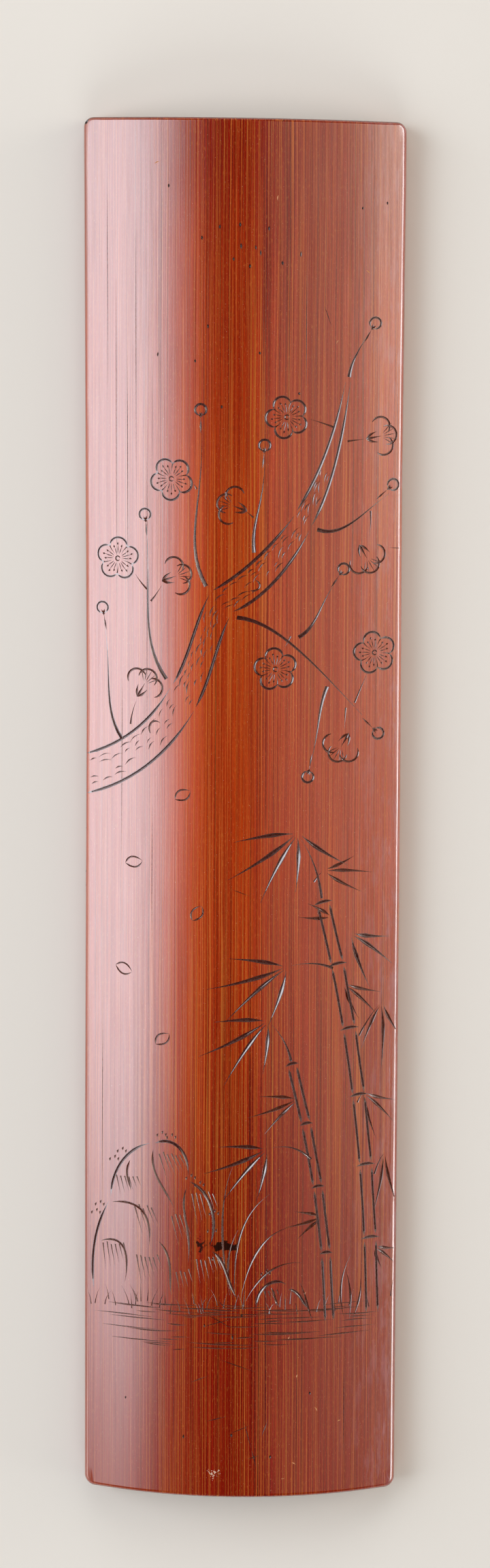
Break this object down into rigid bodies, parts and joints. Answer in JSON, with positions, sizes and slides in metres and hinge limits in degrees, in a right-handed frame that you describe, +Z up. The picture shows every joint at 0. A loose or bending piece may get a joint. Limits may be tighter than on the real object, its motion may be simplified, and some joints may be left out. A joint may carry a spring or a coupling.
{
  "type": "carved bamboo wrist rest",
  "caption": "Arched slip of polished bamboo with a line-carved plum bough and bamboo, laid on a desk to carry the wrist above wet brushwork.",
  "frame": {"origin": "centre of the rectangle that the two long feet stand on, at desk level", "axes": "+Y along the grain towards the head of the picture, +X across the slip to the picture's right, +Z up out of the carved face"},
  "size_m": [0.0642, 0.28, 0.015],
  "materials": {
    "polished_bamboo": "skinned, red-stained and wax-polished bamboo, satin to gloss",
    "carving_ink": "dried ink and old wax in the cuts, dull"
  },
  "bodies": {
    "root": {"culm_slip": "polished_bamboo", "bough_ink": "carving_ink", "blossom_ink": "carving_ink", "bamboo_ink": "carving_ink", "rock_ink": "carving_ink"}
  },
  "joints": []
}
